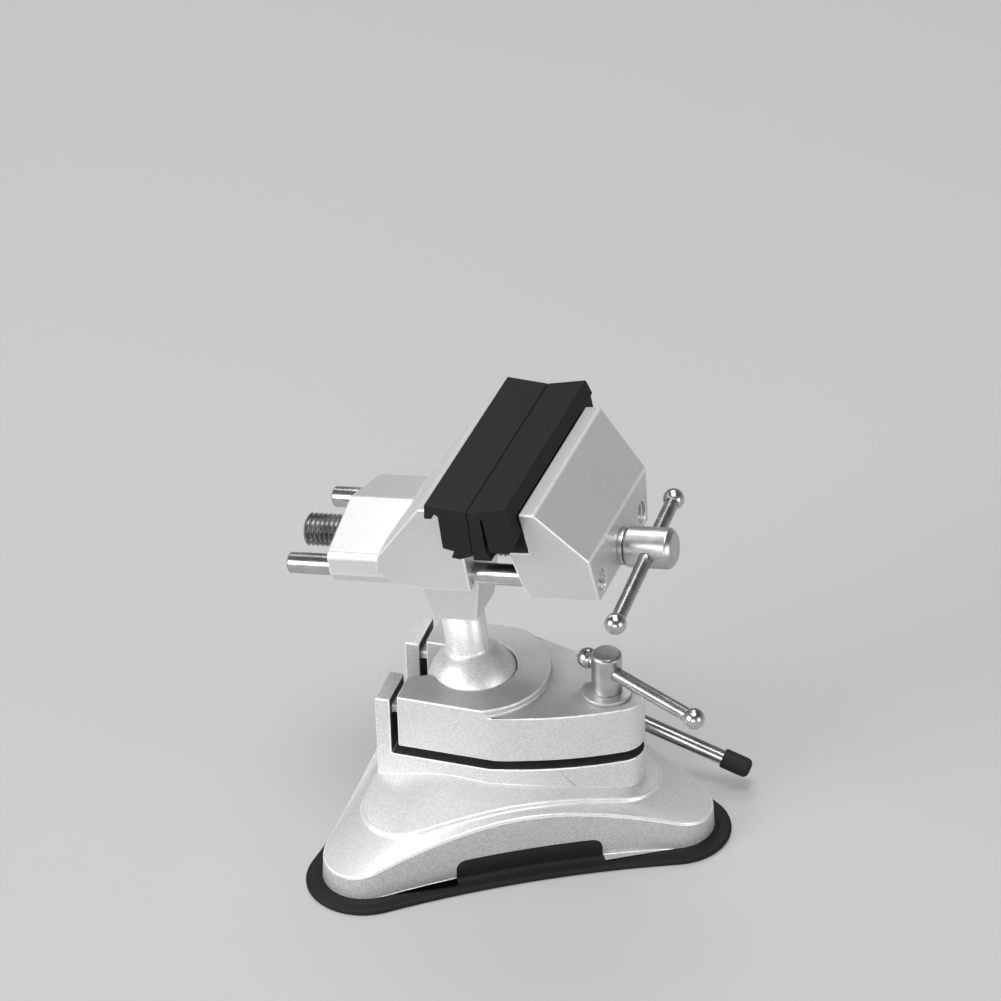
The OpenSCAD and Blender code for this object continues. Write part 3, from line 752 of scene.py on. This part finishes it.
grit = blasted_metal("grit_blasted", 0.68, 0.96, 0.55 * mm, 0.09 * mm, 0.36)
waist = 2.6 * mm
# The waist's arc touches both the ball and the stem.
waist_z = math.sqrt((ball_r + waist) ** 2 - (stem_r + waist) ** 2)
waist_a = math.atan2(waist_z, stem_r + waist)
ball_profile = [
    (-ball_r * math.cos(math.radians(a)), ball_r * math.sin(math.radians(a)) + 0.01 * mm)
    for a in range(0, int(90 + math.degrees(waist_a)), 4)
]
ball_profile += [
    (waist_z - waist * math.sin(waist_a * t), stem_r + waist - waist * math.cos(waist_a * t))
    for t in (1, 0.8, 0.6, 0.4, 0.2, 0)
]
chamfer = 0.5 * mm
spigot_end = stem_l + spigot_l
ball_profile += [
    (stem_l - chamfer, stem_r), (stem_l, stem_r - chamfer), (stem_l, spigot_r),
    (spigot_end - chamfer, spigot_r), (spigot_end, spigot_r - chamfer),
    (spigot_end, 0.05 * mm),
]
upright = head_pose @ Matrix.Rotation(math.radians(-90), 4, "Y")
ball = settle(placed(loft("ball_and_stem", lathe(ball_profile, 96), grit), upright), 50)
stands_for(ball, "ball_stud")


# ---- Jaws --------------------------------------------------------------------------------
# Two alloy castings, finely blasted and clear coated. The fixed one has the hub that guides
# the rods and the screw, and the neck that turns on the stem.

satin = blasted_metal("blasted_jaw", 0.54, 0.66, 0.3 * mm, 0.03 * mm, 0.34)


def jaw_edge(edge, bend):
    """The jaws' shallow edges are broken too."""
    return 1 if bend > 14 else 0


for part in ("fixed_jaw", "moving_jaw"):
    dressed(part, satin, 0.7 * mm, 3, jaw_edge)


# ---- Guide rods --------------------------------------------------------------------------
# Ground steel rods pressed into the moving jaw.

for part in ("guide_rod_front", "guide_rod_rear"):
    dressed(part, chrome, 0.2 * mm, 2)


# ---- Lead screw --------------------------------------------------------------------------
# A plated M12 screw with a rolled thread, a round head with a cross hole, a thrust washer
# against the jaw, and a clip behind it.

rod_z = 59.7 * mm
lead_r = 5.85 * mm
lead_pitch = 1.75 * mm
root_r = 4.95 * mm
axis_r = 0.1 * mm
ridge_half_share = 0.45
thread_start = -53.6 * mm
thread_end = 31 * mm
thread_inset = 0.6 * mm


def helix(name, radius, depth, pitch, length, material):
    """A ridge wound round a core along +X."""
    sizes = {"Radius": radius, "Depth": depth, "Pitch": pitch, "Length": length}
    tree, source, sink = node_group(name, sizes)
    turns = tree.nodes.new("ShaderNodeMath")
    spiral = tree.nodes.new("GeometryNodeCurveSpiral")
    upright_normals = tree.nodes.new("GeometryNodeSetCurveNormal")
    ridge = tree.nodes.new("GeometryNodeCurvePrimitiveCircle")
    flat = tree.nodes.new("ShaderNodeCombineXYZ")
    half = tree.nodes.new("ShaderNodeMath")
    squeeze = tree.nodes.new("GeometryNodeTransform")
    sweep = tree.nodes.new("GeometryNodeCurveToMesh")
    lay = tree.nodes.new("GeometryNodeTransform")
    paint = tree.nodes.new("GeometryNodeSetMaterial")
    real = tree.nodes.new("GeometryNodeRealizeInstances")
    turns.operation = "DIVIDE"
    half.operation = "MULTIPLY"
    half.inputs[1].default_value = ridge_half_share
    flat.inputs["Z"].default_value = 1
    spiral.inputs["Resolution"].default_value = 48
    upright_normals.mode = "Z_UP"
    ridge.inputs["Resolution"].default_value = 4
    ridge.inputs["Radius"].default_value = 1
    sweep.inputs["Fill Caps"].default_value = True
    lay.inputs["Rotation"].default_value = (0, math.radians(90), 0)
    paint.inputs["Material"].default_value = material
    for a, b in (
        (source.outputs["Length"], turns.inputs[0]), (source.outputs["Pitch"], turns.inputs[1]),
        (turns.outputs[0], spiral.inputs["Rotations"]),
        (source.outputs["Radius"], spiral.inputs["Start Radius"]),
        (source.outputs["Radius"], spiral.inputs["End Radius"]),
        (source.outputs["Length"], spiral.inputs["Height"]),
        (spiral.outputs["Curve"], upright_normals.inputs["Curve"]),
        (source.outputs["Depth"], flat.inputs["X"]), (source.outputs["Pitch"], half.inputs[0]),
        (half.outputs[0], flat.inputs["Y"]), (ridge.outputs["Curve"], squeeze.inputs["Geometry"]),
        (flat.outputs[0], squeeze.inputs["Scale"]),
        (upright_normals.outputs["Curve"], sweep.inputs["Curve"]),
        (squeeze.outputs["Geometry"], sweep.inputs["Profile Curve"]),
        (sweep.outputs["Mesh"], lay.inputs["Geometry"]),
        (lay.outputs["Geometry"], paint.inputs["Geometry"]),
        (paint.outputs["Geometry"], real.inputs["Geometry"]),
        (real.outputs["Geometry"], sink.inputs["Result"]),
    ):
        tree.links.new(a, b)
    return grown(name, tree, material, 25, [(0, 0, 0)])


def joined(name, *pieces):
    """One object out of several that share their materials."""
    work = bmesh.new()
    for piece in pieces:
        work.from_mesh(piece.data)
    mesh = bpy.data.meshes.new(name)
    work.to_mesh(mesh)
    work.free()
    materials = list(pieces[0].data.materials)
    for piece in pieces:
        bpy.data.objects.remove(piece)
    shade(mesh, sharp_bend)
    return own_mesh(name, mesh, *materials)


# The core between the ridges is painted dark as shade in the thread's roots.
shaded_root_steel = bright_steel("roots_painted_shade", 0.4, 0.08)
thread_steel = bright_steel("rolled_thread", 0.2, 0.22)
thread_l = thread_end - thread_start
thread = helix(
    "lead_thread", root_r, lead_r - root_r, lead_pitch, thread_l - 2 * thread_inset, thread_steel)
placed(thread, Matrix.Translation((thread_start + thread_inset, 0, rod_z)))
core_profile = [
    (thread_start, axis_r), (thread_start, root_r - 0.9 * mm),
    (thread_start + 0.7 * mm, root_r), (thread_end, root_r), (thread_end, axis_r),
]
core = loft("lead_core", lathe(core_profile, 48), shaded_root_steel)
placed(core, Matrix.Translation((0, 0, rod_z)))
shaft = own_mesh("lead_head", clean_copy("lead_screw"), turned, shaded_root_steel, thread_steel)
# Only the solid's head is kept: the core and the ridge take the place of its shaft.
head_cut = head_pose @ Vector((thread_end + 0.1 * mm, 0, 0))
work = bmesh.new()
work.from_mesh(shaft.data)
bmesh.ops.bisect_plane(
    work, geom=work.verts[:] + work.edges[:] + work.faces[:], plane_co=head_cut,
    plane_no=head_pose.to_3x3() @ Vector((1, 0, 0)), clear_inner=True,
)
bmesh.ops.holes_fill(work, edges=[e for e in work.edges if e.is_boundary])
work.to_mesh(shaft.data)
work.free()
rounded(shaft, 0.3 * mm, 2)
placed(thread, head_pose)
placed(core, head_pose)
for face in core.data.polygons:
    face.material_index = 1
for face in thread.data.polygons:
    face.material_index = 2
screw = joined("lead_screw_threaded", shaft, core, thread)
stands_for(screw, "lead_screw")
dressed("thrust_washer", turned, 0.3 * mm, 2)
dressed("screw_clip", zinc, 0.15 * mm, 2)
dressed("lead_bar", drawn, 0.15 * mm, 2)
dressed("lead_bar_ends", chrome, 0.15 * mm, 2)


# ---- Jaw pads ----------------------------------------------------------------------------
# Extruded black rubber caps on the jaws: a dished flange above each jaw, a body in front of
# its face, and loose lips along the bottom. Their edges are soft.

pad_rubber = black_rubber("pad_rubber", 0.5 * mm, 0.006)
for part in ("fixed_jaw_pad", "moving_jaw_pad"):
    dressed(part, pad_rubber, 0.35 * mm, 3)


# ---- Studio and camera -------------------------------------------------------------------
# A plain pale floor and soft boxes. The lens is as long as the photograph's, and the camera
# stands where the fitted view puts it.

def soft_box(name, place, target, size, power):
    light = bpy.data.lights.new(name, "AREA")
    light.shape = "RECTANGLE"
    light.size = size[0]
    light.size_y = size[1]
    light.energy = power
    lamp = bpy.data.objects.new(name, light)
    bpy.context.scene.collection.objects.link(lamp)
    lamp.location = place
    aim = Vector(target) - Vector(place)
    lamp.rotation_euler = aim.to_track_quat("-Z", "Y").to_euler()


subject = (0, 0, 0.07)
soft_box("key_left", (-1.3, -1.3, 0.9), subject, (1.2, 1.0), 33)
soft_box("front_low", (0.3, -1.9, 0.5), subject, (1.2, 0.6), 9)
soft_box("right_fill", (1.7, -0.6, 0.45), subject, (0.8, 0.8), 8)
soft_box("behind", (-0.35, 0.85, 1.6), subject, (0.9, 0.7), 12)
soft_box("overhead", (0.1, -0.2, 2.0), subject, (0.9, 0.9), 29)

floor_mesh = bpy.data.meshes.new("floor")
floor_half = 6
floor_mesh.from_pydata(
    [(-floor_half, -floor_half, 0), (floor_half, -floor_half, 0),
     (floor_half, floor_half, 0), (-floor_half, floor_half, 0)], [], [(0, 1, 2, 3)])
floor_paint = Paint("studio_floor")
seen = sum((
    floor_paint.node("ShaderNodeLightPath", output=ray)
    for ray in ("Is Camera Ray", "Is Glossy Ray", "Is Transmission Ray")
), 0)
floor = own_mesh("floor", floor_mesh, floor_paint.finish(
    Base_Color=floor_paint.blend(seen, grey(0.62), grey(0.27)),
    Emission_Color=floor_paint.blend(seen, grey(0), grey(0.2)),
    Emission_Strength=1, Roughness=0.9, Specular_IOR_Level=0.1))

# The room is pale at eye level and dark overhead, which draws the dark lines on the steel.
world = bpy.data.worlds.new("studio")
bpy.context.scene.world = world
room = Shading(world, "Background")
way = room.node("ShaderNodeTexCoord", output="Generated")
height = room.node("ShaderNodeSeparateXYZ", None, {0: way}, "Z")
pale = room.node("ShaderNodeMapRange", None, {
    "Value": height, "From Min": 0.1, "From Max": 0.8, "To Min": 0.85, "To Max": 0.1})
room.finish(Color=pale, Strength=0.37)
bpy.context.scene.view_settings.view_transform = "Standard"

azimuth = math.radians(18.36)
elevation = math.radians(36.59)
roll = math.radians(-1.89)
aim_right = math.radians(0.28)
aim_up = math.radians(1.92)
camera_distance = 1.910
focal_px = 5408.4
frame_px = 1001
back = Vector((
    math.sin(azimuth) * math.cos(elevation),
    -math.cos(azimuth) * math.cos(elevation),
    math.sin(elevation),
))
right = Vector((math.cos(azimuth), math.sin(azimuth), 0))
up = back.cross(right)
rolled_right = math.cos(roll) * right + math.sin(roll) * up
rolled_up = math.cos(roll) * up - math.sin(roll) * right
forward = math.cos(aim_right) * -back + math.sin(aim_right) * rolled_right
side = math.cos(aim_right) * rolled_right + math.sin(aim_right) * back
aim = math.cos(aim_up) * forward + math.sin(aim_up) * rolled_up
top = math.cos(aim_up) * rolled_up - math.sin(aim_up) * forward
lens = bpy.data.cameras.new("camera")
lens.sensor_width = 36
lens.lens = 36 * focal_px / frame_px
camera = bpy.data.objects.new("camera", lens)
bpy.context.scene.collection.objects.link(camera)
stand = Vector((0, 0, ball_z)) + camera_distance * back
camera.matrix_world = Matrix.Translation(stand) @ Matrix((side, top, -aim)).transposed().to_4x4()
bpy.context.scene.camera = camera
